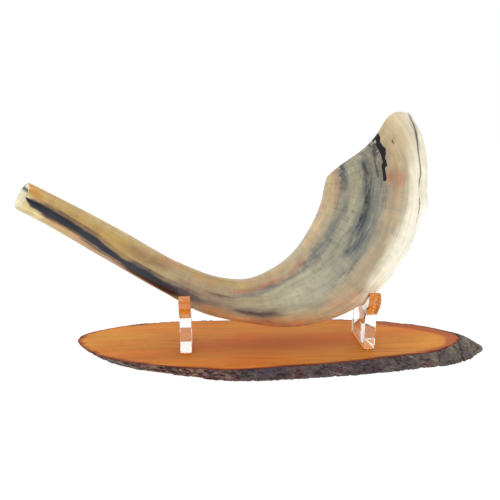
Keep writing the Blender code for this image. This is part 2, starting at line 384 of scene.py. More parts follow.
def horn_swell(s):
    """Lumps on the ridge, and a faint unevenness all over, by station and angle."""
    angles = horn_angles()
    off_edge = np.minimum(angles, 2 * np.pi - angles)
    lumps = sum(height * MM * bump(s / MM, place, length) for place, height, length in KEEL_LUMPS)
    ridge = np.exp(-(off_edge / KEEL_LUMP_WIDTH) ** 2)
    at = np.broadcast_arrays(s[:, None] * 55, np.cos(angles) * 0.9, np.sin(angles) * 0.9)
    at = np.stack(at, 2).reshape(-1, 3)
    uneven = fractal(at, 3).reshape(len(s), ROUND)
    knobbly = fractal(at * (3.2, 1, 1) + 5, 3).reshape(len(s), ROUND)
    rising = blend(0.235, 0.270, s)[:, None]
    keep_off_rim = blend(HORN_LENGTH, HORN_LENGTH - 0.006, s)[:, None]
    lumpy = lumps[:, None] * ridge + 0.00045 * knobbly * ridge * rising
    return keep_off_rim * lumpy + 0.00008 * (uneven - 1)


def stroke(s, u, path, softness=0.5, ends=(6.0, 6.0)):
    """How far a brush stroke covers each place: 1 in its middle, 0 outside.

    The path gives (distance from the mouth in mm, u, half-width in u); ends fade it out over mm.
    """
    path = np.array(path, float)
    line = np.interp(s, path[:, 0], path[:, 1])
    half = np.interp(s, path[:, 0], path[:, 2])
    off = np.abs(u - line) / np.maximum(half, 1e-4)
    cover = 1 - blend(1 - softness, 1 + softness, off)
    start = blend(path[0, 0] - ends[0], path[0, 0] + ends[0], s) if ends[0] else (s >= path[0, 0])
    stop = 1 - blend(path[-1, 0] - ends[1], path[-1, 0] + ends[1], s) if ends[1] else (s <= path[-1, 0])
    return cover * start * stop


GROUND = (                     # distance from the mouth in mm, colour of the polished horn there
    (0, (222, 200, 148)), (8, (204, 170, 106)), (35, (198, 168, 106)), (75, (197, 165, 104)),
    (95, (190, 158, 112)), (115, (190, 164, 122)), (150, (180, 156, 122)), (175, (178, 162, 130)),
    (200, (184, 174, 142)), (222, (192, 184, 154)), (240, (180, 174, 147)), (260, (176, 170, 144)),
    (300, (176, 167, 138)), (340, (188, 176, 142)),
)
NEAR = "near side only"
# Each wash: colour, strength, path, softness, fade at the ends (mm), and NEAR if the hidden side lacks it.
# They go on in this order over the ground colour. One stronger than 1 is laid on evenly, without clouds.
WASHES = (
    # upper side of the tube: golden, with orange and pinkish clouds, then browner
    ((202, 168, 98), 0.6, ((10, -0.7, 0.3), (45, -0.66, 0.32), (80, -0.6, 0.34)), 0.6, (5, 8)),
    ((202, 148, 62), 0.9, ((0, -0.8, 0.28), (9, -0.74, 0.24)), 0.8, (0, 5)),
    ((200, 150, 108), 0.5, ((10, -0.55, 0.12), (22, -0.5, 0.14)), 0.9, (4, 6)),
    ((190, 140, 110), 0.6, ((26, -0.34, 0.11), (40, -0.3, 0.1), (56, -0.26, 0.1)), 0.9, (6, 4)),
    ((216, 150, 94), 0.75, ((61, -0.24, 0.08), (68, -0.16, 0.08)), 0.9, (3, 3), NEAR),
    ((206, 182, 130), 0.5, ((48, -0.98, 0.14), (94, -0.96, 0.14)), 0.8, (8, 10)),
    ((180, 152, 92), 0.45, ((12, -0.94, 0.16), (44, -0.94, 0.12)), 0.9, (4, 8)),
    ((158, 126, 90), 0.7, ((80, -0.52, 0.2), (96, -0.46, 0.26), (112, -0.55, 0.18)), 0.7, (1.5, 8)),
    ((192, 174, 126), 0.65, ((101, -0.22, 0.18), (116, -0.3, 0.22)), 0.9, (6, 6)),
    ((196, 138, 78), 0.8, ((97, -0.84, 0.09), (106, -0.86, 0.12), (116, -0.92, 0.1)), 0.9, (4, 6)),
    ((190, 132, 84), 0.65, ((127, -0.8, 0.1), (134, -0.82, 0.12), (143, -0.74, 0.1)), 0.9, (3, 5)),
    ((184, 152, 88), 0.75, ((116, -0.94, 0.12), (150, -0.9, 0.13), (170, -0.84, 0.2)), 0.8, (6, 6)),
    ((194, 164, 98), 0.7, ((156, -0.8, 0.2), (175, -0.88, 0.16)), 0.9, (5, 6)),
    ((198, 158, 112), 0.5, ((172, -0.88, 0.14), (200, -0.88, 0.15), (230, -0.9, 0.12)), 0.8, (8, 12)),
    ((178, 126, 98), 0.7, ((160, -0.58, 0.1), (176, -0.66, 0.12), (192, -0.7, 0.07), (206, -0.72, 0.05)),
     0.9, (6, 8)),
    ((160, 112, 94), 0.55, ((208, -0.74, 0.06), (220, -0.77, 0.1), (232, -0.79, 0.08)), 1.0, (6, 8)),
    ((120, 116, 102), 0.75, ((162, -0.44, 0.05), (178, -0.5, 0.08), (192, -0.6, 0.05)), 0.9, (6, 4)),
    ((106, 103, 100), 0.8, ((189, -0.61, 0.05), (208, -0.66, 0.04), (226, -0.67, 0.06), (242, -0.66, 0.06)),
     0.9, (4, 8)),
    # underside of the tube: peach, cream at the tip and along the very edge
    ((200, 165, 118), 0.92, ((4, 0.42, 0.32), (30, 0.45, 0.3), (44, 0.52, 0.28)), 0.6, (3, 8)),
    ((176, 138, 110), 0.92, ((44, 0.58, 0.34), (60, 0.66, 0.3), (80, 0.82, 0.24), (100, 0.92, 0.16)),
     0.6, (8, 8)),
    ((196, 150, 120), 0.55, ((42, 0.62, 0.16), (50, 0.7, 0.18), (57, 0.76, 0.14)), 0.9, (4, 5)),
    ((220, 204, 152), 0.8, ((0, 0.3, 0.6), (9, 0.52, 0.36), (18, 0.72, 0.24)), 0.8, (0, 7)),
    ((222, 200, 160), 0.6, ((0, 0.92, 0.16), (40, 0.94, 0.12), (56, 0.98, 0.06)), 0.9, (2, 6)),
    ((210, 174, 134), 0.6, ((63, 0.6, 0.1), (76, 0.66, 0.12)), 0.9, (3, 3), NEAR),
    ((202, 132, 84), 0.75, ((71, 0.66, 0.09), (79, 0.74, 0.1)), 0.9, (2.5, 3), NEAR),
    # bend: grey-brown and violet mottling, orange towards the slice
    ((150, 122, 100), 0.6, ((118, -0.06, 0.26), (140, -0.05, 0.4), (162, 0.05, 0.3)), 0.9, (8, 10)),
    ((92, 74, 74), 0.9, ((110, 0.2, 0.24), (122, 0.26, 0.34), (132, 0.24, 0.26), (142, 0.26, 0.18)),
     0.9, (6, 8), NEAR),
    ((134, 108, 86), 0.6, ((143, 0.12, 0.18), (154, 0.22, 0.18)), 0.9, (3, 4), NEAR),
    ((190, 130, 80), 0.85, ((141, 0.58, 0.18), (150, 0.48, 0.16), (159, 0.4, 0.1)), 0.9, (4, 4), NEAR),
    ((222, 164, 116), 0.85, ((150, 0.8, 0.28), (190, 0.74, 0.26), (212, 0.74, 0.24)), 0.8, (8, 12)),
    ((226, 196, 158), 0.85, ((212, 0.84, 0.26), (230, 0.82, 0.26), (244, 0.84, 0.24)), 0.8, (10, 8)),
    ((184, 120, 86), 0.6, ((176, 0.62, 0.08), (192, 0.66, 0.07)), 0.9, (5, 6), NEAR),
    ((186, 180, 152), 0.7, ((186, -0.2, 0.26), (212, -0.14, 0.34), (232, -0.2, 0.24)), 0.9, (10, 10)),
    ((196, 170, 132), 0.6, ((196, 0.45, 0.16), (222, 0.52, 0.16)), 0.9, (8, 8)),
    ((138, 132, 114), 0.5, ((198, 0.1, 0.08), (212, 0.22, 0.1), (226, 0.3, 0.08)), 1.0, (5, 6), NEAR),
    # bell: cream outer half, tan between it and the grey middle, peach along the inner edge
    ((212, 184, 142), 0.75, ((232, -0.93, 0.11), (280, -0.94, 0.1), (340, -0.94, 0.1)), 0.8, (12, 0)),
    ((202, 160, 134), 0.5, ((286, -0.82, 0.05), (312, -0.84, 0.05), (340, -0.8, 0.06)), 0.9, (8, 0)),
    ((200, 172, 136), 0.9, ((222, 0.4, 0.2), (255, 0.26, 0.15), (290, 0.24, 0.15), (316, 0.26, 0.15),
     (341, 0.36, 0.16)), 0.8, (10, 0)),
    ((247, 238, 212), 1.5, ((238, 0.88, 0.12), (252, 0.84, 0.26), (275, 0.8, 0.3), (300, 0.84, 0.28),
     (320, 0.86, 0.26), (341, 0.88, 0.24)), 0.7, (10, 0)),
    ((196, 142, 108), 0.5, ((222, 0.46, 0.1), (236, 0.52, 0.1), (247, 0.58, 0.08)), 0.9, (6, 4), NEAR),
    ((208, 186, 146), 0.7, ((318, 0.5, 0.18), (330, 0.54, 0.3), (341, 0.58, 0.38)), 0.9, (10, 0)),
    # dark streaks and green-grey brushing on the bell
    ((156, 154, 138), 0.5, ((226, -0.14, 0.2), (246, -0.2, 0.36), (290, -0.26, 0.34), (341, -0.34, 0.34)),
     0.8, (14, 0)),
    ((132, 130, 118), 0.6, ((252, -0.04, 0.08), (270, -0.02, 0.08), (290, -0.04, 0.08), (341, -0.02, 0.1)),
     0.9, (8, 0)),
    ((112, 114, 112), 0.7, ((236, -0.72, 0.05), (252, -0.7, 0.09), (270, -0.7, 0.05), (283, -0.66, 0.07),
     (300, -0.69, 0.06), (341, -0.66, 0.07)), 0.9, (6, 0)),
    ((82, 82, 90), 0.8, ((300, -0.75, 0.03), (320, -0.73, 0.04), (341, -0.67, 0.06)), 0.8, (8, 0)),
    ((102, 105, 106), 0.85, ((246, -0.26, 0.05), (256, -0.22, 0.11), (268, -0.16, 0.14), (282, -0.24, 0.15),
     (300, -0.3, 0.11), (320, -0.28, 0.09), (334, -0.25, 0.07)), 1.0, (6, 6)),
    ((72, 76, 88), 0.8, ((254, -0.24, 0.04), (262, -0.21, 0.075), (272, -0.2, 0.06), (280, -0.26, 0.04)),
     1.0, (5, 6), NEAR),
    ((54, 57, 66), 1.0, ((277, -0.28, 0.035), (286, -0.29, 0.06), (300, -0.31, 0.055), (314, -0.31, 0.05),
     (328, -0.29, 0.03)), 0.9, (4, 8), NEAR),
    ((180, 176, 146), 0.5, ((268, -0.5, 0.08), (310, -0.5, 0.1), (341, -0.5, 0.1)), 0.9, (10, 0)),
    ((136, 131, 116), 0.5, ((314, -0.03, 0.08), (332, -0.04, 0.1)), 0.9, (6, 5), NEAR),
    # margins of the dark streak along the tube
    ((116, 88, 80), 0.75, ((8, -0.42, 0.08), (40, -0.35, 0.09), (58, -0.27, 0.09), (68, -0.06, 0.08),
     (84, 0.04, 0.07), (112, 0.0, 0.09)), 1.0, (5, 6)),
    ((128, 92, 66), 0.75, ((12, 0.24, 0.1), (22, 0.34, 0.1), (40, 0.28, 0.09), (60, 0.4, 0.09),
     (80, 0.62, 0.12), (100, 0.78, 0.1), (122, 0.78, 0.1)), 1.0, (5, 8), NEAR),
    # violet-grey patch in the bend, and a thin dark line above it
    ((132, 112, 102), 0.6, ((158, 0.24, 0.12), (174, 0.3, 0.22), (186, 0.32, 0.24), (197, 0.24, 0.16)),
     1.0, (5, 5), NEAR),
    ((80, 64, 68), 0.85, ((163, 0.22, 0.05), (172, 0.27, 0.1), (184, 0.28, 0.12), (193, 0.18, 0.12)),
     1.0, (4, 4), NEAR),
    ((84, 62, 52), 0.85, ((138, -0.34, 0.03), (150, -0.33, 0.045), (160, -0.31, 0.03)), 0.8, (4, 5), NEAR),
    ((130, 112, 90), 0.6, ((156, -0.34, 0.025), (170, -0.42, 0.03)), 0.9, (4, 4), NEAR),
    ((188, 128, 94), 0.75, ((307, 0.27, 0.1), (311, 0.28, 0.18), (316, 0.28, 0.1)), 1.0, (3, 3), NEAR),
    # partly painted light: the bell's own cream, brightened to near white along its thin outer edge for light
    # shining through the horn
    ((255, 251, 232), 1.2, ((254, 0.92, 0.14), (268, 0.86, 0.18), (292, 0.9, 0.16), (306, 0.96, 0.1)),
     0.9, (6, 6)),
    ((150, 150, 146), 0.7, ((325, 0.89, 0.03), (335, 0.95, 0.03)), 0.9, (3, 2), NEAR),
)
# the nearly black band along the tube, and the browner part of it: path, softness, fade at the ends
DARK = (
    ((0, -0.22, 0.04), (2.5, -0.17, 0.14), (5, -0.11, 0.25), (10, -0.09, 0.26), (14, -0.05, 0.28),
     (19, 0.0, 0.32), (28, -0.02, 0.28), (40, 0.01, 0.25), (50, 0.05, 0.23), (58, 0.12, 0.25),
     (64, 0.22, 0.22), (70, 0.29, 0.2), (77, 0.35, 0.19), (83, 0.4, 0.25), (87, 0.4, 0.34),
     (98, 0.41, 0.37), (106, 0.45, 0.34), (114, 0.48, 0.33), (121, 0.5, 0.32), (128, 0.48, 0.24)),
    0.95, (0, 16),
)
BROWN = (((82, 0.66, 0.12), (100, 0.70, 0.18), (112, 0.58, 0.26), (128, 0.50, 0.34)), 0.9, (5, 6))
INK = (                        # black marks near the rim: path, softness, fade at the ends
    (((309, 0.03, 0.016), (311, 0.034, 0.044), (314, 0.038, 0.036), (318, 0.05, 0.036), (320, 0.075, 0.055),
     (323, 0.082, 0.042), (326, 0.094, 0.05), (328, 0.125, 0.072), (330, 0.138, 0.062), (332, 0.124, 0.044),
     (334, 0.128, 0.05), (336, 0.15, 0.08), (338, 0.152, 0.092), (341, 0.15, 0.096)), 0.4, (0.6, 0)),
)
PENCIL = (                     # greyer, softer marks beside them
    (((311, -0.106, 0.014), (316, -0.096, 0.024), (322, -0.082, 0.028), (327, -0.066, 0.036),
     (331, -0.04, 0.046), (333, 0.0, 0.04), (336, 0.06, 0.04)), 0.8, (2.0, 0.8)),
    (((328, 0.05, 0.02), (331, 0.01, 0.04), (334, 0.0, 0.03), (339, -0.03, 0.02)), 0.9, (1.5, 0.8)),
)
SPLITS = (                     # thin dark lines: path, softness, fade at the ends
    (((46, 0.45, 0.02), (54, 0.47, 0.045), (62, 0.52, 0.04), (72, 0.58, 0.025), (80, 0.7, 0.014)),
     0.9, (3, 5)),
    (((53, 0.58, 0.012), (64, 0.62, 0.018), (72, 0.68, 0.012)), 0.9, (3, 4)),
    (((290, 0.88, 0.008), (296, 0.84, 0.01), (300, 0.8, 0.012), (304, 0.772, 0.009)), 0.8, (3, 1.5)),
    (((307, 0.768, 0.008), (311, 0.776, 0.013), (313, 0.812, 0.014), (318, 0.818, 0.012),
     (322, 0.834, 0.013), (325, 0.866, 0.015), (328, 0.908, 0.016), (332, 0.94, 0.012), (337, 0.968, 0.01)),
     0.8, (1, 4)),
    (((324, 0.35, 0.003), (327, 0.368, 0.006), (331, 0.386, 0.004)), 0.9, (2.5, 3.0)),
)
GLINTS = (
    (((330, 0.03, 0.008), (333, 0.062, 0.012), (337, 0.085, 0.014)), 0.9, (1.5, 1.0)),
    (((332, -0.085, 0.006), (334, -0.04, 0.01), (335, 0.01, 0.01)), 0.9, (1.5, 1.0)),
)
KEEL_LUMPS = (                 # distance from the mouth, height and half-length, all in mm
    (291, -0.5, 4.0), (301.5, 2.4, 4.6), (324, 0.9, 10.0),
)
KEEL_LUMP_WIDTH = 0.60


def horn_paint(s, u, v):
    """Colour and masks over the outside of the horn, for each point's distance and place round it."""
    s, u, v = s.ravel() / MM, u.ravel(), v.ravel()
    behind = v > 0
    side = np.where(behind, 37.0, 0.0)
    streaky = np.stack((s * 0.010 + side, u * 3.0, np.abs(v) * 2.0), 1)
    patchy = np.stack((s * 0.035 + side, u * 3.2, np.abs(v) * 2.0), 1)
    fine = np.stack((s * 0.075 + side, u * 11.0, np.abs(v) * 7.0), 1)
    fibre = fractal(streaky * (1, 4, 4))
    cloud = fractal(patchy)
    ragged = fractal(patchy * (3, 2, 2) + 9.0, fade=0.8)
    feather = fractal(fine, fade=0.8)
    across = fractal(fine * (3.2, 0.30, 0.30) + 4.0, fade=0.8)
    jagged = fractal(np.stack((s * 0.30, u * 22.0, u * 0), 1), fade=0.8)
    # the hidden side has the same bands, wandering differently
    wander = np.where(behind, 0.12 * np.sin(s / 41.0) + 0.25 * cloud, 0.0)
    u_soft = u + wander + (0.045 * fibre + 0.045 * feather) * (1 - u * u) + 0.02 * cloud + 0.020 * across
    u_hard = u + wander + 0.045 * ragged + 0.030 * feather
    s_soft = s + 5.0 * cloud

    places, tones = zip(*GROUND)
    tones = np.array([srgb(*tone) for tone in tones])
    colour = np.stack([np.interp(s_soft, places, channel) for channel in tones.T], 1)
    uneven = np.clip(1 + 0.45 * cloud + 0.30 * fibre + 0.45 * feather + 0.45 * across, 0.25, 1.4)
    for tone, strength, path, softness, ends, *near in WASHES:
        cover = strength * stroke(s_soft, u_soft, path, softness, ends)
        if strength <= 1:
            cover = cover * uneven
        cover = np.clip(np.where(behind, 0.0, cover) if near else cover, 0, 1)[:, None]
        colour = colour * (1 - cover) + srgb(*tone) * cover
    colour = colour * (1 + 0.075 * feather + 0.060 * across + 0.03 * ragged)[:, None].clip(0.8, 1.2)

    def marks(table, wobble):
        """The strokes of a table together, on the near side only."""
        covers = [stroke(s, u + wobble, *mark) * ~behind for mark in table]
        return np.maximum.reduce(covers)

    middle = blend(-0.95, -0.72, u) * (0.25 * blend(0.50, 0.35, u) + 0.75 * blend(0.20, 0.00, u))
    reach = 0.35 * blend(100, 130, s) + 0.65 * blend(205, 255, s)
    return {
        "tone": colour,
        "dark": stroke(s, u_hard, *DARK),
        "brown": stroke(s_soft, u_soft, *BROWN),
        "ink": marks(INK, 0.014 * jagged),
        "split": marks(SPLITS, 0.004 * ragged),
        "glint": marks(GLINTS, 0.0),
        "brush": middle * reach * np.clip(1 + 0.8 * cloud, 0.2, 1.6),
        "pencil": marks(PENCIL, 0.010 * jagged),
    }


def horn_look():
    g = Graph("polished_horn_streaked")
    tone = g.attribute("tone", "Vector")
    grain = g.attribute("grain", "Vector")
    hollow = g.attribute("hollow")
    long_fibre = g.noise(grain, (6, 90, 90), detail=5, rough=0.6)
    fine_fibre = g.noise(grain, (26, 420, 420), detail=3, rough=0.6)
    speck = g.noise(grain, (160, 260, 260), detail=3, rough=0.7)
    cross = g.noise(grain, (120, 16, 16), detail=4, rough=0.6, distortion=0.4)
    shade = g.times(g.ramp(long_fibre, 0.25, 0.75, 0.86, 1.14),
                    g.ramp(fine_fibre, 0.2, 0.8, 0.93, 1.07))
    shade = g.times(shade, g.ramp(speck, 0.2, 0.8, 0.95, 1.05))
    shade = g.times(shade, g.ramp(cross, 0.25, 0.75, 0.91, 1.09))
    colour = g.mix(1.0, tone, g.node_colour(shade), "MULTIPLY")
    warm = g.ramp(g.noise(grain, (14, 30, 30), detail=3), 0.45, 0.75, 0.0, 0.35)
    colour = g.mix(warm, colour, g.mix(1.0, colour, (1.06, 0.98, 0.88), "MULTIPLY"))
    # brushing in the grey of the bell: dark and pale strokes along the growth, and dark ones across it
    along = g.noise(grain, (55, 420, 420), detail=4, rough=0.6, distortion=0.6)
    athwart = g.noise(grain, (330, 60, 60), detail=4, rough=0.6, distortion=0.6)
    strokes = g.plus(g.ramp(along, 0.42, 0.74, 0.0, 0.50), g.ramp(athwart, 0.42, 0.76, 0.0, 0.42))
    colour = g.mix(g.times(strokes, g.attribute("brush")), colour, srgb(92, 96, 98))
    pale = g.ramp(g.noise(grain, (70, 380, 380), detail=4, rough=0.6, distortion=0.6), 0.46, 0.76, 0.0, 0.42)
    colour = g.mix(g.times(pale, g.attribute("brush")), colour, srgb(206, 200, 172))

    def frayed(name, roughly, amount, low, high, most=1.0):
        """A mask with its edge broken up by noise."""
        return g.ramp(g.plus(g.attribute(name), g.times(roughly, amount)), low, high, 0.0, most)

    edge = g.centred(g.noise(grain, (60, 150, 150), detail=4, rough=0.65))
    dark = frayed("dark", edge, 0.5, 0.16, 0.80)
    blue = g.colours(g.noise(grain, (18, 40, 40), detail=3),
                     ((0.35, srgb(38, 30, 38)), (0.5, srgb(36, 38, 50)), (0.65, srgb(50, 54, 62))))
    blue = g.mix(g.attribute("brown"), blue, srgb(52, 30, 26))
    colour = g.mix(dark, colour, blue)
    fleck = g.centred(g.noise(grain, (220, 260, 260), detail=3, rough=0.7))
    pencil = frayed("pencil", fleck, 0.6, 0.30, 0.85, 0.80)
    colour = g.mix(pencil, colour, srgb(70, 68, 70))
    ink = frayed("ink", fleck, 0.55, 0.38, 0.60)
    colour = g.mix(ink, colour, srgb(36, 34, 36))
    split = frayed("split", fleck, 0.5, 0.20, 0.75, 0.85)
    colour = g.mix(split, colour, srgb(92, 74, 62))
    colour = g.mix(g.ramp(g.attribute("glint"), 0.2, 0.8, 0.0, 0.8), colour, srgb(236, 234, 222))
    inner = g.mix(g.ramp(cross, 0.3, 0.7), srgb(150, 128, 98), srgb(196, 178, 142))
    colour = g.mix(hollow, colour, inner)
    rough = g.plus(g.ramp(fine_fibre, 0.2, 0.8, 0.20, 0.30), g.times(hollow, 0.30))
    relief = g.relief(g.plus(long_fibre, g.times(fine_fibre, 0.35)), 0.00010, 0.6)
    relief = g.relief(g.times(split, -1.0), 0.00025, 0.8, under=relief)
    return g.set(Base_Color=colour, Roughness=rough, Normal=relief, IOR=1.54, Specular_IOR_Level=0.28)


def wall(s):
    """Thickness of the horn's wall at each station."""
    return spline(SECTION_KNOTS, HORN_SECTIONS[:, 5], s)[:, 0]


def flat_grid(s, u, v, a, b):
    """Distance along the horn and place in its section for each point, for the grain to follow."""
    return np.stack((np.broadcast_to(s[:, None], u.shape), u * a[:, None], v * b[:, None]), 2).reshape(-1, 3)


def make_horn():
    # the outside, from the mouth to the rim
    mouth = MOUTH_CHAMFER_LENGTH * MOUTH_RINGS
    body = np.linspace(mouth[-1], HORN_LENGTH - RIM_ROUNDING, OUTER_STATIONS)[1:]
    turn = np.linspace(0, np.pi / 2, 6)[1:]
    outer_s = np.concatenate((mouth, body, HORN_LENGTH - RIM_ROUNDING + RIM_ROUNDING * np.sin(turn)))
    outer_inset = np.concatenate((MOUTH_CHAMFER_DEPTH * MOUTH_DEPTHS, np.zeros(len(body)),
                                  RIM_ROUNDING * (1 - np.cos(turn)))) + SKIN
    outer = horn_surface(outer_s, outer_inset, swell=horn_swell(outer_s))
    # the hollow, from the rim back to the cup
    back = np.linspace(np.pi / 2, 0, 5)
    lip = HORN_LENGTH - RIM_ROUNDING + RIM_ROUNDING * np.sin(back)
    deep_s = np.linspace(HORN_LENGTH - RIM_ROUNDING, BORE_START, INNER_STATIONS)[1:]
    inner_s = np.concatenate((lip, deep_s))
    inner_inset = np.concatenate((wall(lip) - RIM_ROUNDING * (1 - np.cos(back)), wall(deep_s)))
    inner = horn_surface(inner_s, inner_inset, keel=0.0)
    cup_s, cup_r = np.array(CUP_PROFILE[::-1]).T
    cup = horn_surface(cup_s, radius=cup_r, keel=0.0)

    parts = ((outer_s, outer), (inner_s, inner), (cup_s, cup))
    vertices = np.concatenate([surface[0] for _, surface in parts]).reshape(-1, 3)
    faces = grid_faces(sum(len(s) for s, _ in parts), ROUND, close_rows=True)
    piece = make_piece("horn_polished", vertices, faces, horn_look(), "horn", "horn", sharp=50)
    give_attribute(piece, "grain", np.concatenate([flat_grid(s, *surface[1:]) for s, surface in parts]))
    # the cup is as pale as the cut end, with painted shade in grey on the side of the inner edge, for the
    # shadow inside the cup
    cup_painted_shade = bump((cup[1] * cup_r[:, None]).ravel() / cup_r.max(), -0.45, 0.20)
    pale = srgb(255, 246, 214)
    cup_tone = pale + (srgb(92, 94, 90) - pale) * cup_painted_shade[:, None]
    plain = np.tile(srgb(205, 186, 148), (len(inner_s) * ROUND, 1))
    masks = horn_paint(np.broadcast_to(outer_s[:, None], outer[1].shape), outer[1], outer[2])
    for name, values in masks.items():
        pad = np.concatenate((plain, cup_tone)) if values.ndim == 2 else np.zeros(len(plain) + len(cup_tone))
        give_attribute(piece, name, np.concatenate((values, pad)))
    cup_hollow = 0.5 * blend(0.006, 0.014, np.repeat(cup_s, ROUND))
    give_attribute(piece, "hollow", np.concatenate((np.zeros(len(outer_s) * ROUND), np.ones(len(plain)),
                                                    cup_hollow)))


# ---------------- branch slice

SLICE_AROUND = 260
SLICE_CENTRE = np.array((0.002, 0.008))
NICK_DEPTH = 0.0024             # of the chips in the wood's left edge
BARK_AROUND = 1100
BARK_ROWS = 18
BARK_MIDDLE = 0.0021            # usual thickness, before the slant
BARK_LEAST, BARK_MOST = 0.0006, 0.0052


def closed_curve(count):
    """Upper and lower outlines of the slice, smooth and closed, with matching points."""
    looped = np.vstack((SLICE_OUTLINES[-3:], SLICE_OUTLINES, SLICE_OUTLINES[:4]))
    knots = path_lengths(looped[:, :2])
    places = np.linspace(knots[3], knots[3 + len(SLICE_OUTLINES)], count, endpoint=False)
    upper, lower = np.split(spline(knots, looped, places), 2, axis=1)
    # the sawn tip on the left is blunter than the simple outline
    blunt = 0.0015 * blend(-0.120, -0.138, upper[:, 0]) * blend(-0.030, 0.010, upper[:, 1])
    return upper + outward(upper) * blunt[:, None], lower


def outward(points):
    tangent = np.roll(points, -1, axis=0) - np.roll(points, 1, axis=0)
    normal = np.column_stack((tangent[:, 1], -tangent[:, 0]))
    return normal / np.linalg.norm(normal, axis=1)[:, None]


def wood_look():
    g = Graph("varnished_branch_wood")
    place = g.place()
    wobble = g.centred(g.noise(place, (26, 60, 40), detail=3))
    rings = g.plus(g.attribute("ring"), g.times(wobble, 0.010))
    late = g.ramp(g.math("SINE", g.times(rings, 2100.0)), 0.10, 1.0, 0.0, 0.07)
    long_streak = g.noise(place, (14, 150, 120), detail=5, rough=0.62, distortion=0.25)
    fine_streak = g.noise(place, (60, 800, 500), detail=4, rough=0.6)
    blotch = g.noise(place, (14, 34, 30), detail=4, rough=0.55)
    base = g.colours(g.plus(g.attribute("golden"), blotch),
                     ((0.30, srgb(212, 112, 44)), (0.46, srgb(215, 126, 48)),
                      (0.60, srgb(214, 136, 52)), (0.78, srgb(220, 152, 60))))
    heart = g.plus(g.attribute("heart"), g.times(g.centred(long_streak), 2.2))
    heart = g.ramp(heart, 0.30, 1.1, 0.0, 0.28)
    base = g.mix(heart, base, srgb(206, 104, 42))
    base = g.mix(late, base, srgb(168, 78, 30))
    shade = g.times(g.ramp(long_streak, 0.25, 0.75, 0.90, 1.10), g.ramp(fine_streak, 0.2, 0.8, 0.95, 1.05))
    base = g.mix(1.0, base, g.node_colour(shade), "MULTIPLY")
    red_line = g.ramp(g.noise(place, (8, 170, 100), detail=4, rough=0.7), 0.57, 0.72, 0.0, 0.45)
    base = g.mix(red_line, base, srgb(172, 72, 30))
    edge = g.plus(g.attribute("edge"), g.times(g.centred(long_streak), 0.0075))
    band = g.ramp(g.math("DIVIDE", edge, g.attribute("rim")), 0.55, 1.0, 0.85, 0.0)
    base = g.mix(band, base, g.mix(blotch, srgb(150, 70, 40), srgb(182, 96, 52)))
    base = g.mix(g.ramp(edge, 0.0004, 0.0015, 0.85, 0.0), base, srgb(112, 46, 36))
    rough = g.ramp(fine_streak, 0.2, 0.8, 0.36, 0.52)
    relief = g.relief(g.plus(long_streak, g.times(fine_streak, 0.5)), 0.00012, 0.5)
    return g.set(Base_Color=base, Roughness=rough, Normal=relief, IOR=1.5, Specular_IOR_Level=0.06)


def make_slice_wood():
    upper, lower = closed_curve(SLICE_AROUND)
    nick = np.clip(field(raised(upper, 3.1), 210), 0, 1) ** 1.3 * NICK_DEPTH
    upper = upper - outward(upper) * (nick * blend(-0.095, -0.135, upper[:, 0]))[:, None]
    edge = 0.0003 / np.linalg.norm(upper - SLICE_CENTRE, axis=1)
    top = SLICE_THICKNESS
    rings = [raised(SLICE_CENTRE + (lower - SLICE_CENTRE) * f, 0.0) for f in np.linspace(0, 1, 9)[1:]]
    rings += [raised(lower + (upper - lower) * t, top * t) for t in np.linspace(0, 1, 7)[1:-1]]
    rings.append(raised(upper, top - 0.0004))
    spread = 1 - (1 - np.linspace(0, 1, 34)[1:]) ** 1.6
    for f in spread[::-1]:
        xy = SLICE_CENTRE + (upper - SLICE_CENTRE) * (f - edge * (f == 1.0))[:, None]
        lift = 0.00006 * field(raised(xy, 0.0), (40, 120, 1), octaves=3)
        rings.append(raised(xy, top - 0.00010 + lift))
    vertices, faces = capped(rings, (*SLICE_CENTRE, 0.0), (*SLICE_CENTRE, top - 0.0001))
    piece = make_piece("slice_wood_sawn", vertices, faces, wood_look(), "stand", "slab_wood",
                       sharp=35)
    # the outline at each height, to know how far a place is from the bark
    near = []
    for x, y, z in vertices:
        here = lower + (upper - lower) * min(max(z / top, 0), 1)
        near.append(np.min(np.hypot(here[:, 0] - x, here[:, 1] - y)))
    x, y, z = vertices.T
    # the rings are round the branch's axis, which the saw met at a slant
    ring = np.sqrt(((x - (top - z) - 0.012) / 2.75) ** 2 + (y - 0.006) ** 2)
    give_attribute(piece, "edge", near)
    give_attribute(piece, "ring", ring)
    give_attribute(piece, "heart", blend(0.028, 0.014, ring) * blend(-0.070, -0.045, x + 0.9 * (y - 0.006)))
    give_attribute(piece, "golden", 0.10 * blend(-0.03, -0.09, x) - 0.02 * blend(0.08, 0.12, x))
    far = blend(-0.01, 0.03, y)
    give_attribute(piece, "rim", 0.0026 + (0.002 + 0.012 * far) * blend(0.05, 0.12, x)
                   + 0.007 * blend(0.118, 0.136, x) + 0.0015 * blend(-0.07, -0.13, x))


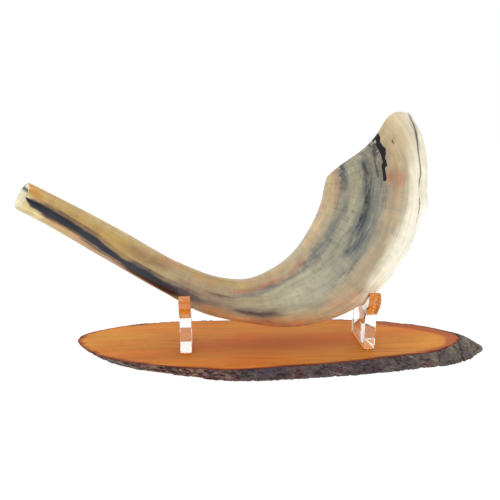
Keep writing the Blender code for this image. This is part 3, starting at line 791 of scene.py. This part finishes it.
def bark_look():
    g = Graph("rough_bark")
    place = g.place()
    unrolled = g.attribute("unrolled", "Vector")
    lumps = g.noise(place, 130, detail=6, rough=0.68)
    fine = g.noise(place, 700, detail=5, rough=0.7)
    painted_hollow_shade = g.attribute("painted_hollow_shade")
    mixed = g.plus(g.times(lumps, 0.5), g.times(fine, 0.5))
    slanting = g.scaled(unrolled, (1, 1, 1), turn=(0, 0, math.radians(42)))
    grain = g.noise(slanting, (260, 1300, 1), detail=3, rough=0.6)
    mixed = g.plus(g.times(mixed, 0.6), g.times(grain, 0.4))
    base = g.colours(mixed, ((0.38, srgb(66, 52, 55)), (0.47, srgb(88, 74, 75)),
                             (0.54, srgb(106, 92, 90)), (0.64, srgb(136, 122, 116))))
    grey = g.colours(mixed, ((0.38, srgb(86, 76, 70)), (0.47, srgb(112, 102, 92)),
                             (0.55, srgb(138, 128, 114)), (0.66, srgb(166, 156, 140))))
    base = g.mix(g.attribute("right"), base, grey)
    warm = g.colours(mixed, ((0.40, srgb(110, 76, 68)), (0.50, srgb(142, 106, 94)),
                             (0.62, srgb(184, 148, 126))))
    base = g.mix(g.attribute("warm"), base, warm)
    maroon = g.ramp(g.noise(place, 85, detail=4, rough=0.6, turn=(0.3, 0.5, 0.2)), 0.52, 0.66, 0.0, 0.70)
    base = g.mix(maroon, base, srgb(92, 44, 48))
    violet = g.ramp(g.noise(place, 60, detail=3, rough=0.6, turn=(0.9, 0.2, 0.5)), 0.50, 0.64, 0.0, 0.45)
    base = g.mix(violet, base, srgb(66, 60, 80))
    scratch = g.math("ABSOLUTE", g.centred(g.noise(slanting, (75, 620, 1), detail=2, rough=0.5)))
    broken = g.ramp(g.noise(slanting, (120, 300, 1), detail=2), 0.42, 0.56)
    scratches = g.times(g.times(g.ramp(scratch, 0.006, 0.030, 1.0, 0.0), broken),
                       g.attribute("scratched"))
    base = g.mix(g.times(scratches, 0.80), base, srgb(188, 180, 176))
    tan = g.times(g.ramp(g.noise(place, 300, detail=3, rough=0.6), 0.52, 0.62), g.attribute("flecked"))
    base = g.mix(g.times(tan, 0.85), base, srgb(200, 160, 118))
    # painted shade: the bark's hollows and its side towards the wood are darkened nearly to black
    base = g.mix(g.ramp(painted_hollow_shade, 0.15, 1.1, 0.0, 0.70), base, srgb(34, 24, 26))
    base = g.mix(g.times(g.attribute("crack"), 0.9), base, srgb(34, 28, 26))
    relief = g.relief(lumps, 0.0010, 0.7)
    relief = g.relief(g.plus(fine, scratches), 0.0004, 0.8, under=relief)
    rough = g.ramp(fine, 0.2, 0.8, 0.62, 0.85)
    return g.set(Base_Color=base, Roughness=rough, Normal=relief, Specular_IOR_Level=0.12)


def make_slice_bark():
    upper, lower = closed_curve(BARK_AROUND)
    out = outward(upper)
    along = path_lengths(upper)
    thick = BARK_MIDDLE + BARK_SLANT * out[:, 0]
    thick = thick * (1 - 0.45 * blend(-0.2, -0.9, out[:, 0])) + 0.0017 * blend(0.70, 0.97, out[:, 0])
    top = SLICE_THICKNESS
    flat = np.column_stack((along, np.zeros(BARK_AROUND), np.zeros(BARK_AROUND)))
    ledge = field(flat, 95, octaves=5, seed=4.0)
    chipped = np.clip(field(flat, 240, octaves=4, seed=11.0), -1, 1)
    top_drop = 0.0003 + 0.0005 * np.clip(ledge + 0.25, 0, 1) + 0.0003 * np.clip(chipped, 0, 1)
    broken_off = blend(-0.045, -0.085, upper[:, 0]) * np.clip(field(flat, 60, octaves=3, seed=8.0) + 0.25, 0, 1)
    low_raise = 0.0001 + 0.0011 * np.clip(chipped + 0.1, 0, 1) ** 1.3 + 0.0032 * broken_off
    scaly = 1 + 0.9 * blend(-0.02, -0.07, upper[:, 0])

    def level(z):
        """The outline of the wood at a height that may differ from point to point."""
        return lower + (upper - lower) * (z / top)[:, None]

    rings, painted_hollow_shades = [], []
    for t in np.arange(BARK_ROWS) / (BARK_ROWS - 1):
        z = low_raise + (top - top_drop - low_raise) * t
        here = raised(level(z), z)
        # slanting flakes, lumps and a fine crust
        slant = np.column_stack((along - 1.4 * z, 3.2 * z, np.zeros(BARK_AROUND)))
        shifted = slant * 210 + 0.9 * field(here, 160, 3, 7.0)[:, None]
        lump = field(here, 75, octaves=3, seed=1.0)
        flake = np.array([noise.cell(Vector(q)) for q in shifted])
        ridge = 1 - np.abs(field(slant, (170, 520, 1), octaves=3, seed=2.0)) * 2.2
        crust = field(here, 620, octaves=3, seed=5.0)
        push = (0.00035 * lump + 0.00045 * (flake - 0.5) + 0.00025 * ridge) * scaly + 0.00022 * crust
        round_off = 0.0007 * (blend(0.80, 1.0, t) ** 2 + 0.8 * (1 - blend(0.0, 0.14, t)) ** 2)
        reach = np.clip(thick + push - round_off, BARK_LEAST, BARK_MOST)
        rings.append(raised(level(z) + out * reach[:, None], z))
        # how far in each place is pushed, kept as painted shade for its hollows
        painted_hollow_shades.append(np.clip(-push / 0.0006, 0, 1))
    # the side towards the wood, darkened with painted shade
    for z in (top - top_drop - 0.0001, low_raise):
        rings.append(raised(level(z) + out * 0.00006, z))
        painted_hollow_shades.append(np.full(BARK_AROUND, 0.8))
    vertices = np.concatenate(rings)
    faces = grid_faces(len(rings), BARK_AROUND, close_rows=True)
    piece = make_piece("slice_bark_rough", vertices, faces, bark_look(), "stand", "slab_bark",
                       sharp=50)
    x, _, z = vertices.T
    front = np.tile(out[:, 1] < 0.2, len(rings)).astype(float)
    give_attribute(piece, "unrolled", np.column_stack((np.tile(along, len(rings)), z, np.zeros(len(z)))))
    give_attribute(piece, "painted_hollow_shade", np.concatenate(painted_hollow_shades))
    give_attribute(piece, "right", blend(0.085, 0.120, x) + 0.8 * blend(-0.055, -0.095, x))
    give_attribute(piece, "scratched", front * blend(0.015, 0.045, x) * blend(0.115, 0.095, x))
    give_attribute(piece, "flecked", front * bump(x, -0.062, 0.010))
    give_attribute(piece, "warm", 0.8 * front * blend(-0.115, -0.080, x) * blend(-0.020, -0.045, x))
    crack_place = 0.1345 + 0.12 * (z - 0.005) + 0.0006 * np.sin(z * 1400)
    give_attribute(piece, "crack", front * bump(x, crack_place, 0.0009))


# ---------------- forks and their adhesive

FORK_EDGE = 0.00045
# How far the film's top stands above the CAD film's, which is 0.3 mm below the fork's foot.
GLUE_DRY = 0.00025              # 0.05 mm of air is left under the foot
GLUE_WET = 0.00036              # the film goes 0.06 mm into the foot, as if it wetted it
GLUE_CLEARANCE = 0.0001         # between the film and the wood


def fork_profile():
    """One fork seen along X, counter-clockwise from the foot: (y, z)."""
    shoulder = np.array(FORK_SHOULDER)
    side = spline(np.arange(len(shoulder)), shoulder, np.linspace(0, len(shoulder) - 1, 73))
    y = np.linspace(NOTCH_HALF_WIDTH, -NOTCH_HALF_WIDTH, 81)
    notch = np.column_stack((y, NOTCH_BOTTOM_Z + np.hypot(NOTCH_ROUNDNESS, y) - NOTCH_ROUNDNESS))
    right = np.vstack(((STEM_HALF_WIDTH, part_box("left_cradle")[0].z), side))
    left = right[::-1] * (-1, 1)
    return np.vstack((right, notch, left))


def acrylic_look():
    g = Graph("clear_acrylic_polished")
    place = g.place()
    haze = g.noise(place, 90, detail=3)
    cut = g.noise(place, (900, 60, 60), detail=2)
    rough = g.ramp(haze, 0.3, 0.7, 0.010, 0.030)
    relief = g.relief(cut, 0.00003, 0.4)
    return g.set(Base_Color=(0.985, 0.968, 0.905), Roughness=rough, Normal=relief,
                 IOR=1.49, Transmission_Weight=1.0)


def make_fork(name, node, x, look):
    outline = fork_profile()
    bm = bmesh.new()
    sides = []
    for offset in (-SHEET / 2, SHEET / 2):
        sides.append([bm.verts.new((x + offset, y, z)) for y, z in outline])
    for i in range(len(outline)):
        j = (i + 1) % len(outline)
        bm.faces.new((sides[0][i], sides[0][j], sides[1][j], sides[1][i]))
    bm.faces.new(reversed(sides[0]))
    bm.faces.new(sides[1])
    bm.normal_update()
    sharp = [e for e in bm.edges if e.calc_face_angle(0) > math.radians(50)]
    bmesh.ops.bevel(bm, geom=sharp, offset=FORK_EDGE, segments=4, profile=0.5, affect="EDGES",
                    clamp_overlap=True)
    bmesh.ops.triangulate(bm, faces=[f for f in bm.faces if len(f.verts) > 4])
    # bmesh lists these faces in a new order each run, so they are put in a fixed one
    bm.verts.index_update()
    vertices = [vertex.co.copy() for vertex in bm.verts]
    faces = sorted(tuple(vertex.index for vertex in face.verts) for face in bm.faces)
    bm.free()
    make_piece(name, vertices, faces, look, "stand", node, sharp=13)


def glue_look():
    """Cured film: it shows the wood's orange between whitish bubbles."""
    g = Graph("cured_adhesive_film")
    place = g.place()
    bubbles = g.ramp(g.noise(place, 1100, detail=3, rough=0.6), 0.54, 0.64, 0.0, 0.6)
    tint = g.mix(g.noise(place, 90, detail=3), srgb(208, 108, 4), srgb(222, 136, 16))
    colour = g.mix(bubbles, tint, srgb(240, 226, 194))
    relief = g.relief(bubbles, 0.0001, 0.5)
    # without some light of its own the film comes out dark under the acrylic
    return g.set(Base_Color=colour, Roughness=g.ramp(bubbles, 0, 1, 0.35, 0.60), Normal=relief,
                 IOR=1.45, Specular_IOR_Level=0.20, Emission_Color=colour, Emission_Strength=0.55)


def make_glue(name, node, look, contact):
    low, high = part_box(node)
    centre = (low + high) / 2
    angle = 2 * np.pi * np.arange(96) / 96
    x = (high.x - low.x) / 2 * np.sign(np.cos(angle)) * np.abs(np.cos(angle)) ** 0.35
    y = (high.y - low.y) / 2 * np.sign(np.sin(angle)) * np.abs(np.sin(angle)) ** 0.20
    ragged = 1 - 0.05 * np.clip(field(np.column_stack((x, y, y * 0)), 420, 3), 0, 1)
    foot = SLICE_THICKNESS + GLUE_CLEARANCE
    top = high.z + (GLUE_WET if contact else GLUE_DRY)
    rings = []
    for z, pull in ((foot, 1.0), (foot + 0.0003, 0.97), (top - 0.00005, 0.97), (top, 0.94)):
        rings.append(np.column_stack((centre.x + x * ragged * pull, centre.y + y * ragged * pull,
                                      np.full(len(x), z))))
    vertices, faces = capped(rings, (centre.x, centre.y, foot), (centre.x, centre.y, top))
    make_piece(name, vertices, faces, look, "stand", node, sharp=40)


make_horn()
make_slice_wood()
make_slice_bark()
acrylic = acrylic_look()
adhesive = glue_look()
for side, x in (("left", -FORK_SPACING / 2), ("right", FORK_SPACING / 2)):
    make_fork(side + "_fork_clear", side + "_cradle", x, acrylic)
    make_glue(side + "_glue_film", side + "_glue_bed", adhesive, contact=side == "right")


# ---------------- floor, light and camera

def make_floor():
    g = Graph("white_paper")
    grain = g.noise(g.place(), 40, detail=2)
    g.set(Base_Color=g.mix(grain, (0.15, 0.15, 0.15), (0.16, 0.16, 0.16)), Roughness=0.9,
          Specular_IOR_Level=0.0, Emission_Color=(1.0, 1.0, 1.0), Emission_Strength=0.98)
    bpy.ops.mesh.primitive_plane_add(size=12, location=(0, 0, 0))
    floor = bpy.context.object
    floor.name = "paper_floor"
    floor.data.materials.append(g.material)


def area_light(name, place, aim, size, power):
    data = bpy.data.lights.new(name, "AREA")
    data.shape = "RECTANGLE"
    data.size, data.size_y = size
    data.energy = power
    lamp = bpy.data.objects.new(name, data)
    bpy.context.scene.collection.objects.link(lamp)
    lamp.location = place
    lamp.rotation_euler = (Vector(aim) - Vector(place)).to_track_quat("-Z", "Y").to_euler()


def make_room():
    """White to look at; as light it is strongest from above and weakest from the front."""
    world = bpy.data.worlds.new("white_room")
    bpy.context.scene.world = world
    world.use_nodes = True
    tree = world.node_tree
    background = tree.nodes["Background"]
    background.inputs["Color"].default_value = (1.0, 1.0, 1.0, 1.0)

    def math_node(operation, a, b):
        made = tree.nodes.new("ShaderNodeMath")
        made.operation = operation
        for socket, value in zip(made.inputs, (a, b)):
            if isinstance(value, bpy.types.NodeSocket):
                tree.links.new(value, socket)
            else:
                socket.default_value = value
        return made.outputs[0]

    direction = tree.nodes.new("ShaderNodeSeparateXYZ")
    tree.links.new(tree.nodes.new("ShaderNodeTexCoord").outputs["Generated"], direction.inputs[0])
    light = math_node("ADD", math_node("MULTIPLY", direction.outputs["Z"], 0.42), 0.50)
    light = math_node("ADD", light, math_node("MULTIPLY", direction.outputs["Y"], 0.22))
    seen = tree.nodes.new("ShaderNodeLightPath")
    white = math_node("MAXIMUM", seen.outputs["Is Camera Ray"], seen.outputs["Is Transmission Ray"])
    tree.links.new(math_node("MAXIMUM", light, white), background.inputs["Strength"])


make_floor()
area_light("front_softbox", (-0.7, -1.5, 1.3), (0, 0, 0.08), (1.2, 0.9), 7)
area_light("top_softbox", (0.3, 0.2, 1.6), (0, 0, 0.05), (1.4, 1.0), 4)
make_room()


CAMERA_PLACE = (-0.0459, -0.4106, 0.1639)
CAMERA_PITCH = math.radians(11.49)   # below the level
CAMERA_YAW = math.radians(3.74)      # from +Y towards +X
CAMERA_LENS = 42.48


def make_camera():
    pitch, yaw = CAMERA_PITCH, CAMERA_YAW
    forward = Vector((math.sin(yaw) * math.cos(pitch), math.cos(yaw) * math.cos(pitch), -math.sin(pitch)))
    right = Vector((math.cos(yaw), -math.sin(yaw), 0))
    up = right.cross(forward)
    data = bpy.data.cameras.new("camera")
    data.sensor_width = 36
    data.lens = CAMERA_LENS
    data.clip_start = 0.01
    camera = bpy.data.objects.new("camera", data)
    bpy.context.scene.collection.objects.link(camera)
    rows = [(r, u, -f, place) for r, u, f, place in zip(right, up, forward, CAMERA_PLACE)]
    camera.matrix_world = Matrix((*rows, (0, 0, 0, 1)))
    bpy.context.scene.camera = camera


make_camera()
bpy.context.scene.view_settings.view_transform = "Standard"
